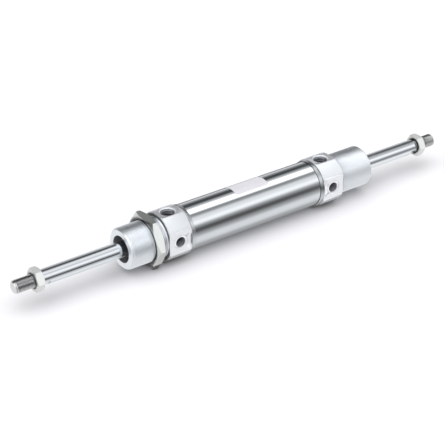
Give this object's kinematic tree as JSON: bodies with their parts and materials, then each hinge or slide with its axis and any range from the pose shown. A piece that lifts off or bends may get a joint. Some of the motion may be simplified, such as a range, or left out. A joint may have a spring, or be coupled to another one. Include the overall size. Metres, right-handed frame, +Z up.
{
  "type": "double-rod pneumatic cylinder",
  "caption": "Round-body double-rod air cylinder: polished tube, satin end covers with threaded noses, ports on top, threaded rod ends with lock nuts and a hexagon mounting nut.",
  "frame": {"origin": "on the cylinder's axis, in the plane of the right cover's shoulder, where a bracket seats on the right nose", "axes": "+X along the axis out of the right nose, +Z up out of the air ports, +Y to the back"},
  "size_m": [0.4637, 0.0532, 0.046],
  "materials": {
    "tube_steel": "drawn stainless tube, polished lengthwise",
    "cover_aluminium": "die-cast and turned, fine satin, clear anodised",
    "plated_steel": "bright zinc plated",
    "rod_chrome": "hard chromed and ground",
    "bush_bronze": "sintered, oil filled",
    "seal_rubber": "black nitrile rubber",
    "ring_steel": "phosphated spring steel",
    "bumper_urethane": "cast urethane",
    "guide_plastic": "moulded guide plastic",
    "magnet_ferrite": "plastic-bonded ferrite",
    "piston_aluminium": "turned",
    "label_film": "blank printed film"
  },
  "bodies": {
    "barrel": {"cylinder_tube": "tube_steel", "mounting_nut": "plated_steel", "name_label": "label_film", "left_cover": "cover_aluminium", "left_rod_bush": "bush_bronze", "left_rod_seal": "seal_rubber", "left_seal_retainer": "ring_steel", "left_snap_ring": "ring_steel", "left_tube_gasket": "seal_rubber", "left_bumper": "bumper_urethane", "right_cover": "cover_aluminium", "right_rod_bush": "bush_bronze", "right_rod_seal": "seal_rubber", "right_seal_retainer": "ring_steel", "right_snap_ring": "ring_steel", "right_tube_gasket": "seal_rubber", "right_bumper": "bumper_urethane"},
    "piston_seals": {"wear_ring": "guide_plastic", "left_piston_seal": "seal_rubber", "right_piston_seal": "seal_rubber"},
    "rod": {"left_piston_rod": "rod_chrome", "right_piston_rod": "rod_chrome", "left_piston_half": "piston_aluminium", "right_piston_half": "piston_aluminium", "magnet_ring": "magnet_ferrite", "stud_o_ring": "seal_rubber", "left_jam_nut": "plated_steel", "right_jam_nut": "plated_steel"}
  },
  "joints": [
    {"name": "rod_slide", "type": "slide", "parent": "barrel", "child": "piston_seals", "axis": [1, 0, 0], "range_m": [-0.04325, 0.05675]},
    {"name": "rod_turn", "type": "hinge", "parent": "piston_seals", "child": "rod", "pos_m": [-0.10335, 0, 0], "axis": [1, 0, 0], "continuous": true}
  ]
}
